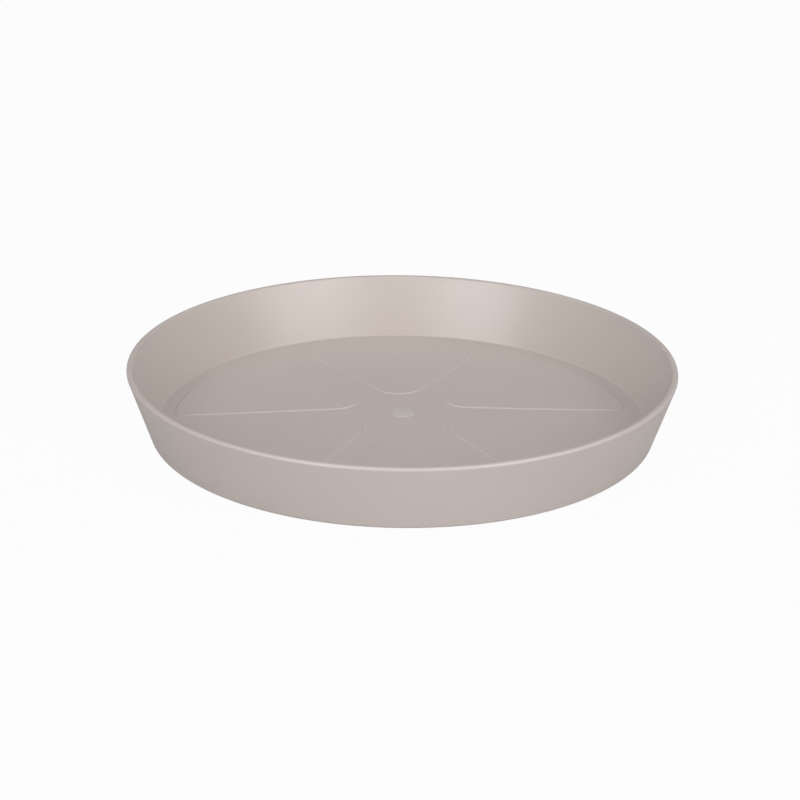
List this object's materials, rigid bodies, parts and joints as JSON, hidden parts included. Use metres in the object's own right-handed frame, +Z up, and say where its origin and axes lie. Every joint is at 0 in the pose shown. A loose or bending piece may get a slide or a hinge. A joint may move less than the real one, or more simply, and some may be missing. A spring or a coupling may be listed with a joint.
{
  "type": "plant saucer",
  "caption": "Round shallow plant saucer with a leaning wall, rounded rim and crowned floor with raised drain pads; it catches the water under a pot.",
  "frame": {"origin": "middle of the flat ring that the saucer stands on, on its axis", "axes": "+Z up along the saucer's axis, towards the open rim; a drain channel runs out along +X"},
  "size_m": [0.21, 0.21, 0.026],
  "materials": {
    "moulded_plastic": "warm grey-beige, fine matt moulded texture with a soft satin sheen"
  },
  "bodies": {
    "root": {"saucer": "moulded_plastic"}
  },
  "joints": []
}
